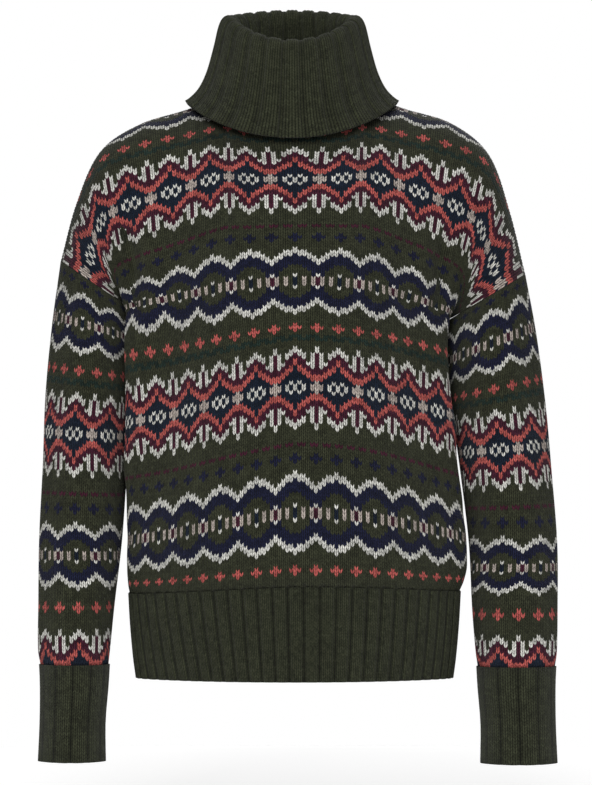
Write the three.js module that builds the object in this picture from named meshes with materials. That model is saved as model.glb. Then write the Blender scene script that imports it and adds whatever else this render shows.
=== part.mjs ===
import * as THREE from 'three';

// A roll-neck fair isle jumper, hollow, as it hangs on a general figure with the arms down.
// Millimetres, +Z up, and the front faces -Y. Left and right are as seen from the front, so that
// +X is right. The origin is on the centre line at shoulder height, where the wearer carries it.

const knitThickness = 3;
const ribThickness = 3;
const ribRelief = 1.6;
const seamGap = 0.3;
const sleeveGap = 0.36;
const underarmGap = 2;

// The front and back panels: stitches counted from the centre, rows from the hem rib upward.
const halfStitches = 66;
const underarmRow = 88;
const neckStitch = 16;
const neckHalfWidth = 72;

// How the sections differ from an ellipse: a corner that stands proud of it near the side seam.
const cornerHeight = 23.1;
const cornerSharpness = 16;
const cornerDepth = 0.7;

// Rows sag towards the side seam, later at the right than at the left, and half as far in the back.
const leftSag = 1.2;
const rightSag = 2;
const backSag = 0.5;
const neckCurve = 1.6;

// The body's sections. Level is the row's height at the centre front, and front and back are depths.
const torso = [
  { row: 0, level: -488, front: 124, back: 112 },
  { row: 4, level: -474, front: 131, back: 118 },
  { row: 12, level: -446, front: 134, back: 121 },
  { row: 31, level: -376, front: 133, back: 120 },
  { row: 44, level: -331, front: 134, back: 119 },
  { row: 69, level: -251, front: 138, back: 120 },
  { row: 81, level: -216, front: 138, back: 122 },
  { row: 88, level: -196, front: 136, back: 123 },
];

// Each half of a section. Drop is how much lower the row is at the side seam, half is the half width
// there, push is how far the corner stands proud, and stitch is the stitch width at the centre.
const leftHalf = [
  { row: 0, drop: 10, half: 169, push: 4, stitch: 3.9 },
  { row: 4, drop: 16, half: 170, push: 5, stitch: 3.9 },
  { row: 12, drop: 26, half: 170, push: 7, stitch: 3.9 },
  { row: 31, drop: 36, half: 168, push: 10, stitch: 3.9 },
  { row: 44, drop: 38, half: 162, push: 18, stitch: 3.9 },
  { row: 69, drop: 38, half: 157, push: 23, stitch: 4 },
  { row: 81, drop: 27, half: 156, push: 25, stitch: 4.3 },
  { row: 88, drop: 18, half: 157, push: 22, stitch: 4.4 },
];
const rightHalf = [
  { row: 0, drop: 8, half: 168, push: 4, stitch: 4.2 },
  { row: 4, drop: 12, half: 172, push: 5, stitch: 4.2 },
  { row: 12, drop: 22, half: 175, push: 6, stitch: 4.2 },
  { row: 31, drop: 36, half: 170, push: 8, stitch: 4.2 },
  { row: 44, drop: 37, half: 158, push: 14, stitch: 4.3 },
  { row: 69, drop: 35, half: 147, push: 17, stitch: 4.45 },
  { row: 81, drop: 30, half: 147, push: 15, stitch: 4.45 },
  { row: 88, drop: 26, half: 151, push: 13, stitch: 4.45 },
];

// The shoulder seam from the neck point out over the shoulder and down to the top of the armhole.
const shoulder = [
  { stitch: 16, leftOut: 72, leftUp: 13, rightOut: 72, rightUp: 13, y: 6 },
  { stitch: 26, leftOut: 113, leftUp: -3, rightOut: 114, rightUp: -2, y: 6 },
  { stitch: 36, leftOut: 160, leftUp: -18, rightOut: 161, rightUp: -17, y: 5 },
  { stitch: 46, leftOut: 200, leftUp: -46, rightOut: 199, rightUp: -49, y: 4 },
  { stitch: 56, leftOut: 224, leftUp: -99, rightOut: 220, rightUp: -107, y: 2 },
  { stitch: 66, leftOut: 240, leftUp: -158, rightOut: 236, rightUp: -172, y: 0 },
];

// How each knit column above the underarm bulges on its way up to the shoulder seam or neckline.
const chestRise = [
  { stitch: 0, low: 60, lowPush: 8, high: 50, highPush: 24 },
  { stitch: 8, low: 65, lowPush: 8, high: 44, highPush: 41 },
  { stitch: 16, low: 70, lowPush: 8, high: 32, highPush: 84 },
  { stitch: 30, low: 80, lowPush: 6, high: 12, highPush: 86 },
  { stitch: 38, low: 75, lowPush: 3, high: 6, highPush: 88 },
  { stitch: 44, low: 58, lowPush: 2, high: 4, highPush: 96 },
  { stitch: 52, low: 36, lowPush: 34, high: 0, highPush: 102 },
  { stitch: 66, low: 26, lowPush: 82, high: 0, highPush: 98 },
];
const backRise = [
  { stitch: 0, low: 80, lowPush: 14, high: 62, highPush: 34 },
  { stitch: 8, low: 80, lowPush: 14, high: 50, highPush: 48 },
  { stitch: 16, low: 80, lowPush: 14, high: 32, highPush: 80 },
  { stitch: 30, low: 85, lowPush: 12, high: 12, highPush: 86 },
  { stitch: 38, low: 78, lowPush: 10, high: 6, highPush: 88 },
  { stitch: 44, low: 60, lowPush: 14, high: 4, highPush: 94 },
  { stitch: 52, low: 36, lowPush: 42, high: 0, highPush: 100 },
  { stitch: 66, low: 26, lowPush: 82, high: 0, highPush: 98 },
];
const neckline = { frontY: -74, backY: 70, frontUp: -26, backUp: 30 };

// Each sleeve's sections from the armhole down to the cuff. Tilt is how much the outside is higher.
const sleeveLeft = [
  { row: 0, z: -186, outer: 240, inner: 156, front: 74, back: 74, middle: 0, tilt: 46 },
  { row: 14, z: -234, outer: 249, inner: 163.5, front: 68, back: 68, middle: 2, tilt: 38 },
  { row: 34, z: -300, outer: 256, inner: 168, front: 62, back: 62, middle: 4, tilt: 25 },
  { row: 54, z: -367, outer: 258.5, inner: 172, front: 56, back: 56, middle: 1, tilt: 12 },
  { row: 76, z: -443, outer: 262, inner: 177, front: 50, back: 50, middle: -6, tilt: 3 },
  { row: 96, z: -510, outer: 262.5, inner: 184.5, front: 44, back: 44, middle: -14, tilt: 0 },
  { row: 110, z: -556, outer: 262.5, inner: 189, front: 41, back: 41, middle: -19, tilt: 0 },
  { row: 114, z: -570, outer: 260, inner: 190.5, front: 38, back: 38, middle: -21, tilt: 0 },
];
const sleeveRight = [
  { row: 0, z: -201, outer: 236, inner: 153, front: 74, back: 74, middle: 0, tilt: 56 },
  { row: 14, z: -249, outer: 247, inner: 157, front: 69, back: 69, middle: 2, tilt: 44 },
  { row: 34, z: -312, outer: 257, inner: 162, front: 64, back: 64, middle: 4, tilt: 29 },
  { row: 54, z: -376, outer: 263, inner: 170, front: 58, back: 58, middle: 1, tilt: 14 },
  { row: 76, z: -448, outer: 268.5, inner: 178, front: 53, back: 53, middle: -6, tilt: 3 },
  { row: 96, z: -513, outer: 268.5, inner: 181, front: 47, back: 47, middle: -14, tilt: 0 },
  { row: 110, z: -558, outer: 267.5, inner: 184.5, front: 43, back: 43, middle: -19, tilt: 0 },
  { row: 114, z: -572, outer: 265.5, inner: 186.5, front: 40, back: 40, middle: -21, tilt: 0 },
];

// The cuffs, as shares of the way down.
const cuffRibs = 12;
const cuffLength = 98;
const cuffs = [
  { down: 0, wider: -1.5, outward: 0, middle: -21 },
  { down: 0.2, wider: -2.5, outward: 0, middle: -24 },
  { down: 0.6, wider: -4, outward: 1.5, middle: -30 },
  { down: 1, wider: -3, outward: 2, middle: -36 },
];

// The hem rib, as shares of the way down from the panels to its level lower edge. Width and depth
// are shares of the panels' own.
const hemRibs = 33;
const hemBottom = -584;
const hem = [
  { down: 0, width: 1, depth: 1 },
  { down: 0.35, width: 0.99, depth: 0.975 },
  { down: 0.75, width: 0.972, depth: 0.958 },
  { down: 1, width: 0.955, depth: 0.958 },
];

// The collar is one ribbed strip: the stand rises from the neckline, rolls over, and the fall hangs
// outside it. Half is its half width; the heights are those at the front, the side and the back.
const collarRibs = 24;
const collarCentre = -3;
const collarTurnIn = 3;
const collar = [
  { half: 69, middle: 6, front: 77, back: 61, frontUp: -26, sideUp: 13, backUp: 30 },
  { half: 61, middle: 2, front: 66, back: 59, frontUp: 3, sideUp: 41, backUp: 54 },
  { half: 57, middle: 0, front: 59, back: 58, frontUp: 37, sideUp: 69, backUp: 79 },
  { half: 57, middle: 0, front: 59, back: 58, frontUp: 55, sideUp: 84, backUp: 94 },
  { half: 62, middle: 0, front: 64, back: 63, frontUp: 63, sideUp: 92, backUp: 102 },
  { half: 69, middle: 0, front: 71, back: 70, frontUp: 62, sideUp: 91, backUp: 101 },
  { half: 74, middle: 0, front: 76, back: 75, frontUp: 52, sideUp: 82, backUp: 91 },
  { half: 79, middle: 0, front: 82, back: 80, frontUp: 32, sideUp: 61, backUp: 70 },
  { half: 86, middle: 0, front: 88, back: 86, frontUp: 7, sideUp: 36, backUp: 47 },
  { half: 94, middle: 1, front: 93, back: 93, frontUp: -14, sideUp: 19, backUp: 31 },
  { half: 103, middle: 2, front: 97, back: 99, frontUp: -28, sideUp: 9, backUp: 20 },
  { half: 109, middle: 3, front: 100, back: 101, frontUp: -36, sideUp: 5, backUp: 13 },
];

// Which stitches and rows carry the panels' mesh points.
const panelStitches = [0, 4, 8, 12, 16, 21, 26, 31, 36, 40, 44, 48, 53, 58, 62, 66];
const lowerRows = [0, 2, 6, 14, 26, 38, 50, 62, 74, 82, 88];
const upperSteps = 12;
const sleeveSteps = 12;

// A smooth curve through one column of a table, with each slope taken from the rows beside it.
function along(table, key, column, at) {
  let i = 0;
  while (i < table.length - 2 && at > table[i + 1][key]) {
    i += 1;
  }
  const slope = (k) => {
    const a = table[Math.max(k - 1, 0)];
    const b = table[Math.min(k + 1, table.length - 1)];
    return (b[column] - a[column]) / (b[key] - a[key]);
  };
  const [p, q] = [table[i], table[i + 1]];
  const span = q[key] - p[key];
  const t = THREE.MathUtils.clamp((at - p[key]) / span, 0, 1);
  const [t2, t3] = [t * t, t * t * t];
  return (
    (2 * t3 - 3 * t2 + 1) * p[column] +
    (t3 - 2 * t2 + t) * span * slope(i) +
    (3 * t2 - 2 * t3) * q[column] +
    (t3 - t2) * span * slope(i + 1)
  );
}

// How far round the quarter section a stitch lies: closer together towards the side seam.
function turn(share, stitchWidth, half) {
  const spread = (stitchWidth * halfStitches) / (Math.PI / 2) / half;
  return (Math.PI / 2) * (spread * share - (spread - 1) * share ** 3);
}

// A point of the body below the underarm. Face is -1 for the front and 1 for the back.
function torsoPoint(face, side, stitch, row) {
  const level = (column) => along(torso, 'row', column, row);
  const at = (column) => along(side < 0 ? leftHalf : rightHalf, 'row', column, row);
  const share = stitch / halfStitches;
  const angle = turn(share, at('stitch'), at('half'));
  const corner = cornerHeight * Math.sin(angle) ** cornerSharpness * Math.cos(angle) ** 2;
  const out = at('half') * Math.sin(angle) + at('push') * corner;
  const depth = level(face < 0 ? 'front' : 'back') * Math.cos(angle) + cornerDepth * at('push') * corner;
  const sag = Math.sin((Math.PI / 2) * share) ** (side < 0 ? leftSag : rightSag);
  const fall = at('drop') * (face < 0 ? sag : 1 - backSag * (1 - sag));
  return new THREE.Vector3(side * out, face * depth, level('level') - fall);
}

function shoulderPoint(face, side, stitch) {
  if (stitch < neckStitch) {
    const angle = ((Math.PI / 2) * stitch) / neckStitch;
    const seamY = shoulder[0].y;
    const seamUp = shoulder[0].leftUp;
    const middleY = face < 0 ? neckline.frontY : neckline.backY;
    const middleUp = face < 0 ? neckline.frontUp : neckline.backUp;
    return new THREE.Vector3(
      side * neckHalfWidth * Math.sin(angle),
      seamY + (middleY - seamY) * Math.cos(angle),
      seamUp + (middleUp - seamUp) * Math.cos(angle) ** neckCurve,
    );
  }
  const name = side < 0 ? 'left' : 'right';
  const at = (column) => along(shoulder, 'stitch', column, stitch);
  return new THREE.Vector3(side * at(`${name}Out`), at('y'), at(`${name}Up`));
}

// A point above the underarm, a share of the way from there up to the shoulder seam or neckline.
function chestPoint(face, side, stitch, share) {
  const from = torsoPoint(face, side, stitch, underarmRow);
  const to = shoulderPoint(face, side, stitch);
  const table = face < 0 ? chestRise : backRise;
  const at = (column) => along(table, 'stitch', column, stitch);
  const up = new THREE.Vector3(to.x - from.x, 0, to.z - from.z).normalize();
  const low = from.clone().addScaledVector(up, at('low'));
  low.y += face * at('lowPush');
  const even = stitch < neckStitch ? (side * neckHalfWidth * stitch) / neckStitch : to.x;
  const high = to.clone().setX(even).addScaledVector(up, -at('high'));
  high.y += face * at('highPush');
  return new THREE.CubicBezierCurve3(from, low, high, to).getPoint(share);
}

// Outward normals of a grid of points, from the points beside each one.
function gridNormals(grid, closed) {
  const columns = grid[0].length;
  return grid.map((line, j) =>
    line.map((_, i) => {
      const before = closed ? (i + columns - 1) % columns : Math.max(i - 1, 0);
      const after = closed ? (i + 1) % columns : Math.min(i + 1, columns - 1);
      const [below, above] = [Math.max(j - 1, 0), Math.min(j + 1, grid.length - 1)];
      const across = grid[j][after].clone().sub(grid[j][before]);
      const up = grid[above][i].clone().sub(grid[below][i]);
      return across.cross(up).normalize();
    }),
  );
}

function offset(grid, normals, distance) {
  const moved = (p, normal) => p.clone().addScaledVector(normal, distance);
  return grid.map((line, j) => line.map((p, i) => moved(p, normals[j][i])));
}

// One closed body between an outer and an inner grid of points; rows run upward.
function wall(outer, inner, closed) {
  const [rows, columns] = [outer.length, outer[0].length];
  const points = [...outer.flat(), ...inner.flat()];
  const layer = rows * columns;
  const faces = [];
  const quad = (a, b, c, d) => faces.push(a, b, c, a, c, d);
  const last = closed ? columns : columns - 1;
  for (let j = 0; j < rows - 1; j += 1) {
    for (let i = 0; i < last; i += 1) {
      const next = (i + 1) % columns;
      const [a, b] = [j * columns + i, j * columns + next];
      const [c, d] = [b + columns, a + columns];
      quad(a, b, c, d);
      quad(layer + a, layer + d, layer + c, layer + b);
    }
  }
  for (let i = 0; i < last; i += 1) {
    const next = (i + 1) % columns;
    const top = (rows - 1) * columns;
    quad(i, layer + i, layer + next, next);
    quad(top + i, top + next, layer + top + next, layer + top + i);
  }
  if (!closed) {
    for (let j = 0; j < rows - 1; j += 1) {
      const [a, b] = [j * columns, (j + 1) * columns];
      const [c, d] = [a + columns - 1, b + columns - 1];
      quad(a, b, layer + b, layer + a);
      quad(c, layer + c, layer + d, d);
    }
  }
  const geometry = new THREE.BufferGeometry();
  const numbers = points.flatMap((p) => p.toArray());
  geometry.setAttribute('position', new THREE.Float32BufferAttribute(numbers, 3));
  geometry.setIndex(faces);
  return geometry;
}

// The panels
const wales = [...panelStitches.slice(1).reverse().map((s) => -s), ...panelStitches];

function armholePlane(side) {
  const from = torsoPoint(-1, side, halfStitches, underarmRow);
  const to = shoulderPoint(-1, side, halfStitches);
  const up = to.clone().sub(from).setY(0).normalize();
  const down = new THREE.Vector3(side * -up.z, 0, side * up.x);
  return { up, down: down.z > 0 ? down.negate() : down };
}

// Seam edges keep their cut faces in one plane, so that the pieces lie edge to edge.
function panelGrids(face) {
  const grid = [
    ...lowerRows.map((row) => wales.map((s) => torsoPoint(face, Math.sign(s) || 1, Math.abs(s), row))),
    ...Array.from({ length: upperSteps }, (_, k) =>
      wales.map((s) => chestPoint(face, Math.sign(s) || 1, Math.abs(s), (k + 1) / upperSteps)),
    ),
  ];
  const normals = gridNormals(grid, false).map((line) => line.map((n) => n.multiplyScalar(-face)));
  const top = grid.length - 1;
  const corner = lowerRows.length - 1;
  wales.forEach((s, i) => {
    if (Math.abs(s) >= neckStitch) {
      normals[top][i].setY(0).normalize();
    }
    normals[0][i].setZ(0).normalize();
  });
  for (const i of [0, wales.length - 1]) {
    const side = Math.sign(wales[i]);
    const { up, down } = armholePlane(side);
    for (let j = 0; j <= top; j += 1) {
      if (j < corner) {
        normals[j][i].setY(0).normalize();
      } else if (j === corner) {
        normals[j][i].set(0, 0, -1);
      } else if (j < top) {
        normals[j][i].addScaledVector(down, -normals[j][i].dot(down)).normalize();
      } else {
        normals[j][i].copy(up);
      }
    }
  }
  return { grid, normals };
}

function seamShift(face, grid) {
  const shifted = grid.map((line) => line.map((p) => p.clone()));
  const top = shifted.length - 1;
  wales.forEach((s, i) => {
    if (Math.abs(s) >= neckStitch) {
      shifted[top][i].y += (face * seamGap) / 2;
    }
  });
  for (let j = 0; j < top; j += 1) {
    shifted[j][0].y += (face * seamGap) / 2;
    shifted[j][wales.length - 1].y += (face * seamGap) / 2;
  }
  return shifted;
}

function panel(face) {
  const { grid, normals } = panelGrids(face);
  const outer = seamShift(face, grid);
  const inner = seamShift(face, offset(grid, normals, -knitThickness));
  const flip = (g) => g.map((line) => [...line].reverse());
  return face < 0 ? wall(outer, inner, false) : wall(flip(outer), flip(inner), false);
}

// The armhole edge of both panels, from the underarm round the front to the shoulder and back.
function armholeRing(side) {
  const front = panelGrids(-1);
  const back = panelGrids(1);
  const column = side < 0 ? 0 : wales.length - 1;
  const { down } = armholePlane(side);
  const start = lowerRows.length - 1;
  const pick = (set, j) => {
    const inner = set.grid[j][column].clone().addScaledVector(set.normals[j][column], -knitThickness);
    return { outer: set.grid[j][column].clone(), inner };
  };
  const ring = [];
  for (let k = 0; k <= upperSteps; k += 1) {
    ring.push(pick(front, start + k));
  }
  for (let k = upperSteps - 1; k > 0; k -= 1) {
    ring.push(pick(back, start + k));
  }
  ring.forEach((p, k) => {
    const gap = Math.min(k, ring.length - k) < 2 ? underarmGap : sleeveGap;
    p.outer.addScaledVector(down, gap);
    p.inner.addScaledVector(down, gap);
  });
  return ring;
}

function sleeveRing(side, table, row, count) {
  const at = (column) => along(table, 'row', column, row);
  const [outer, inner] = [at('outer'), at('inner')];
  const half = (outer - inner) / 2;
  return Array.from({ length: count }, (_, k) => {
    const angle = (2 * Math.PI * k) / count;
    const deep = Math.sin(angle) > 0 ? at('front') : at('back');
    return new THREE.Vector3(
      side * (inner + half - half * Math.cos(angle)),
      at('middle') - deep * Math.sin(angle),
      at('z') - (at('tilt') / 2) * Math.cos(angle),
    );
  });
}

// The sleeve starts as the armhole's own edge, and eases into its round sections below.
const easeRows = 34;
const stepGrowth = 1.15;

function sleeve(side, table) {
  const edge = armholeRing(side);
  const count = edge.length;
  const lastRow = table[table.length - 1].row;
  const start = sleeveRing(side, table, 0, count);
  const grid = [];
  for (let k = 1; k <= sleeveSteps; k += 1) {
    const row = lastRow * (k / sleeveSteps) ** stepGrowth;
    const keep = Math.max(0, 1 - row / easeRows) ** 2;
    const ring = sleeveRing(side, table, row, count);
    grid.push(ring.map((p, i) => p.addScaledVector(edge[i].outer.clone().sub(start[i]), keep)));
  }
  grid.reverse();
  grid.push(edge.map((p) => p.outer));
  const order = (g) => (side < 0 ? g.map((line) => [...line].reverse()) : g);
  const normals = gridNormals(order(grid), true);
  normals[0].forEach((n) => n.setZ(0).normalize());
  const outer = order(grid);
  const inner = offset(outer, normals, -knitThickness);
  inner[inner.length - 1] = order([edge.map((p) => p.inner)])[0];
  return wall(outer, inner, true);
}

// Ribs: three knit stitches stand proud, and the purl stitch between two ribs lies at the base.
const ribGap = 0.45;
const ribPoints = [
  { share: 0, height: 0 },
  { share: 0.26, height: 1 },
  { share: 0.74, height: 1 },
];

function cuff(side, table) {
  const end = table[table.length - 1];
  const half = (end.outer - end.inner) / 2;
  const middle = (end.outer + end.inner) / 2;
  const [outer, inner] = [[], []];
  for (const section of [...cuffs].reverse()) {
    const z = end.z - ribGap - section.down * cuffLength;
    const [raised, plain] = [[], []];
    for (let rib = 0; rib < cuffRibs; rib += 1) {
      for (const { share, height } of ribPoints) {
        const angle = ((2 * Math.PI) / cuffRibs) * (rib + share);
        const place = (grow) =>
          new THREE.Vector3(
            side * (middle + section.outward - (half + section.wider + grow) * Math.cos(angle)),
            section.middle - (end.front + section.wider + grow) * Math.sin(angle),
            z,
          );
        raised.push(place(height * ribRelief));
        plain.push(place(-ribThickness));
      }
    }
    outer.push(raised);
    inner.push(plain);
  }
  const order = (g) => (side < 0 ? g.map((line) => [...line].reverse()) : g);
  return wall(order(outer), order(inner), true);
}

function hemRib(face) {
  const [outer, inner] = [[], []];
  const width = (2 * halfStitches) / hemRibs;
  const marks = [];
  for (let rib = 0; rib < hemRibs; rib += 1) {
    for (const { share, height } of ribPoints) {
      marks.push({ stitch: -halfStitches + width * (rib + share), height });
    }
  }
  marks.push({ stitch: halfStitches, height: 0 });
  for (const section of [...hem].reverse()) {
    const line = marks.map(({ stitch }) => {
      const side = stitch < 0 ? -1 : 1;
      const top = torsoPoint(face, side, Math.abs(stitch), 0);
      const topZ = top.z - ribGap;
      const out = top.x * section.width;
      const deep = top.y * section.depth;
      return new THREE.Vector3(out, deep, topZ + (hemBottom - topZ) * section.down);
    });
    const normals = gridNormals([line, line.map((p) => p.clone().setZ(p.z + 1))], false)[0];
    normals.forEach((n) => n.multiplyScalar(-face).setZ(0).normalize());
    for (const i of [0, line.length - 1]) {
      normals[i].setY(0).normalize();
      line[i].y += (face * seamGap) / 2;
    }
    outer.push(line.map((p, i) => p.clone().addScaledVector(normals[i], marks[i].height * ribRelief)));
    inner.push(line.map((p, i) => p.clone().addScaledVector(normals[i], -ribThickness)));
  }
  const flip = (g) => g.map((line) => [...line].reverse());
  return face < 0 ? wall(outer, inner, false) : wall(flip(outer), flip(inner), false);
}

// The panels' neck edge, a stitch from the centre, along the straight lines between its mesh points.
function neckEdge(face, side, stitch) {
  const k = panelStitches.findIndex((s, i) => i > 0 && stitch <= s);
  const [from, to] = [panelStitches[k - 1], panelStitches[k]];
  const share = (stitch - from) / (to - from);
  return shoulderPoint(face, side, from).lerp(shoulderPoint(face, side, to), share);
}

// The shown side of the collar faces the neck in the stand and outward in the fall.
function collarWall() {
  const marks = [];
  for (let rib = 0; rib < collarRibs; rib += 1) {
    for (const { share, height } of ribPoints) {
      marks.push({ angle: ((2 * Math.PI) / collarRibs) * (rib + share - 0.5), height });
    }
  }
  const grid = collar.map((section, k) =>
    marks.map(({ angle }) => {
      const ahead = Math.cos(angle);
      const middleUp = ahead > 0 ? section.frontUp : section.backUp;
      return new THREE.Vector3(
        collarCentre * Math.min(1, k / collarTurnIn) + section.half * Math.sin(angle),
        section.middle - (ahead > 0 ? section.front : section.back) * ahead,
        section.sideUp + (middleUp - section.sideUp) * Math.abs(ahead) ** neckCurve,
      );
    }),
  );
  const normals = gridNormals(grid, true).map((line) => line.map((n) => n.negate()));
  const shown = grid.map((line, j) =>
    line.map((p, i) => {
      const raised = marks[i].height * ribRelief * Math.min(1, j / 2);
      return p.clone().addScaledVector(normals[j][i], raised);
    }),
  );
  const hidden = offset(grid, normals, -ribThickness);
  marks.forEach(({ angle }, i) => {
    const [ahead, aside] = [Math.cos(angle), Math.sin(angle)];
    const stitch = (neckStitch * Math.asin(Math.min(1, Math.abs(aside)))) / (Math.PI / 2);
    const edge = neckEdge(ahead > 0 ? -1 : 1, Math.sign(aside) || 1, stitch);
    const inward = new THREE.Vector3(-aside, ahead, 0);
    hidden[0][i] = edge.clone().setZ(edge.z + seamGap);
    shown[0][i] = hidden[0][i].clone().addScaledVector(inward, ribThickness);
  });
  const flip = (g) => g.map((line) => [...line].reverse());
  return wall(flip(shown), flip(hidden), true);
}

const wool = { front: 0x3a3f2c, back: 0x393e2b, sleeve: 0x3b402d, rib: 0x34392a };

function piece(name, geometry, color) {
  const material = new THREE.MeshStandardMaterial({ color, roughness: 0.95, metalness: 0 });
  const mesh = new THREE.Mesh(geometry, material);
  mesh.name = name;
  return mesh;
}

const jumper = new THREE.Group();
jumper.add(
  piece('front', panel(-1), wool.front),
  piece('back', panel(1), wool.back),
  piece('sleeve_left', sleeve(-1, sleeveLeft), wool.sleeve),
  piece('sleeve_right', sleeve(1, sleeveRight), wool.sleeve),
  piece('cuff_left', cuff(-1, sleeveLeft), wool.rib),
  piece('cuff_right', cuff(1, sleeveRight), wool.rib),
  piece('hem_rib_front', hemRib(-1), wool.rib),
  piece('hem_rib_back', hemRib(1), wool.rib),
  piece('collar', collarWall(), wool.rib),
);

export default jumper;
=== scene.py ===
import math

import bpy
import numpy as np
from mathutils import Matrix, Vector


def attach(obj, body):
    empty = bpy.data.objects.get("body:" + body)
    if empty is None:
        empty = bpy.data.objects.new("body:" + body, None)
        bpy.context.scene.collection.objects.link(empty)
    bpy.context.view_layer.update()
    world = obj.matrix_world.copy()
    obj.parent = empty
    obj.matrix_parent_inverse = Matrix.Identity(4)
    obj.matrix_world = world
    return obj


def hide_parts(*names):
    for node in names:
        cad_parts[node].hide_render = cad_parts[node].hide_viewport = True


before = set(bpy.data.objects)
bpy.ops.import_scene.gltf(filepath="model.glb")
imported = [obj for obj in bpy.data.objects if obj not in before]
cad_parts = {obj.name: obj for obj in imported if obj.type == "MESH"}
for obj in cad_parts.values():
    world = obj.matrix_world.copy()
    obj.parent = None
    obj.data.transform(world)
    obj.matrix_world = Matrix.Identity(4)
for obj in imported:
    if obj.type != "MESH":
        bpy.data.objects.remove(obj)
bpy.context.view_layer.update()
print("frame loaded")

mm = 0.001  # the knitting is worked out in millimetres, and the meshes are in metres
quarter = math.pi / 2


def columns(names, *rows):
    return {name: np.array(values, float) for name, values in zip(names.split(), zip(*rows))}


def along(rows, key, column, at):  # a smooth curve through one column of a table
    x, y = rows[key], rows[column]
    slope = np.empty_like(y)
    slope[1:-1] = (y[2:] - y[:-2]) / (x[2:] - x[:-2])
    slope[0] = (y[1] - y[0]) / (x[1] - x[0])
    slope[-1] = (y[-1] - y[-2]) / (x[-1] - x[-2])
    i = np.clip(np.searchsorted(x, at) - 1, 0, len(x) - 2)
    span = x[i + 1] - x[i]
    t = np.clip((at - x[i]) / span, 0, 1)
    return (
        (2 * t**3 - 3 * t**2 + 1) * y[i]
        + (t**3 - 2 * t**2 + t) * span * slope[i]
        + (3 * t**2 - 2 * t**3) * y[i + 1]
        + (t**3 - t**2) * span * slope[i + 1]
    )


def softStep(low, high, at):
    t = np.clip((at - low) / (high - low), 0, 1)
    return t * t * (3 - 2 * t)


yarns = {  # one letter in the charts for each yarn
    "o": (0.035, 0.038, 0.021),  # olive ground
    "n": (0.010, 0.012, 0.034),  # navy
    "t": (0.008, 0.014, 0.028),  # dark teal
    "w": (0.610, 0.605, 0.560),  # off-white
    "c": (0.440, 0.380, 0.340),  # cream
    "r": (0.450, 0.098, 0.086),  # coral
    "p": (0.054, 0.011, 0.024),  # plum
    "d": (0.014, 0.028, 0.022),  # dark green
}
yarnOrder = "ontwcrpd"

repeat = {  # rows are counted from the hem, and a motif is named by its middle row
    "rows": 72,
    "stitches": 10,
    "dashes": (0, 1),
    "crosses": 4,
    "rings": 20,
    "dots": 35,
    "line": 39,
    "diamonds": 56.5,
    "crossEvery": 5,
    "lineEvery": 3,
    "dashEvery": 4,
    "early": 2,  # rows before the hem that already belong to the first repeat
}

# Half charts: each line is a column from the middle of the motif outward, read from its middle row up.
diamondChart = [
    "wttttttrrppww",
    "twtttrrpppwwo",
    "wtttrrpppwwoo",
    "tttrrppwooooo",
    "ctrrppwwwwwoo",
    "ccrrpppppppww",
]
ringChart = [
    "ttwooonnnnww",
    "oooooonnnwwo",
    "ccooonnnnwwo",
    "oooonnnnwwoo",
    "ccnnnnnwwooo",
    "ppwnnnwwoooo",
]


def yarnNumber(letter):
    return yarnOrder.index(letter)


def chartGrid(lines):
    return np.array([[yarnNumber(letter) for letter in line] for line in lines])


def fairIsle(stitch, row):  # which yarn knits each stitch of the patterned pieces
    size, every, early = repeat["stitches"], repeat["crossEvery"], repeat["early"]
    fromPeak = np.abs((stitch + size // 2) % size - size // 2)
    fromCross = np.abs((stitch + every // 2) % every - every // 2)
    at = (row + early) % repeat["rows"] - early
    yarn = np.full(stitch.shape, yarnNumber("o"))

    for middle, lines in ((repeat["diamonds"], diamondChart), (repeat["rings"], ringChart)):
        chart = chartGrid(lines)
        up = np.abs(at - middle).astype(int)
        inside = up < chart.shape[1]
        yarn[inside] = chart[fromPeak[inside], up[inside]]

    for middle, letter in ((repeat["crosses"], "r"), (repeat["dots"], "n")):
        away = np.abs(at - middle)
        yarn[(away + fromCross < 2) & (away < 2)] = yarnNumber(letter)
    yarn[(at == repeat["line"]) & ((stitch + row) % repeat["lineEvery"] > 0)] = yarnNumber("p")
    dashes = np.isin(at, repeat["dashes"]) & ~np.isin(row, repeat["dashes"])  # none right above the hem
    yarn[dashes & ((stitch + 2 * at) % repeat["dashEvery"] > 0)] = yarnNumber("d")
    return yarn


body = {
    "halfStitches": 66,
    "underarmRow": 88,
    "neckStitch": 16,
    "neckHalfWidth": 72,
    "cornerHeight": 23.1,
    "cornerSharpness": 16,
    "cornerDepth": 0.7,
    "leftSag": 1.2,
    "rightSag": 2,
    "backSag": 0.5,
    "neckCurve": 1.6,
    "thickness": 3,
    "curveSteps": 81,
}
torsoSections = columns(
    "row level leftDrop rightDrop left right leftPush rightPush leftStitch rightStitch front back",
    (0, -488, 10, 8, 169, 168, 4, 4, 3.9, 4.2, 124, 112),
    (4, -474, 16, 12, 170, 172, 5, 5, 3.9, 4.2, 131, 118),
    (12, -446, 26, 22, 170, 175, 7, 6, 3.9, 4.2, 134, 121),
    (31, -376, 36, 36, 168, 170, 10, 8, 3.9, 4.2, 133, 120),
    (44, -331, 38, 37, 162, 158, 18, 14, 3.9, 4.3, 134, 119),
    (69, -251, 38, 35, 157, 147, 23, 17, 4.0, 4.45, 138, 120),
    (81, -216, 27, 30, 156, 147, 25, 15, 4.3, 4.45, 138, 122),
    (88, -196, 18, 26, 157, 151, 22, 13, 4.4, 4.45, 136, 123),
)
shoulderLine = columns(
    "stitch leftOut leftUp rightOut rightUp y",
    (16, 72, 13, 72, 13, 6),
    (26, 113, -3, 114, -2, 6),
    (36, 160, -18, 161, -17, 5),
    (46, 200, -46, 199, -49, 4),
    (56, 224, -99, 220, -107, 2),
    (66, 240, -158, 236, -172, 0),
)
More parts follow.
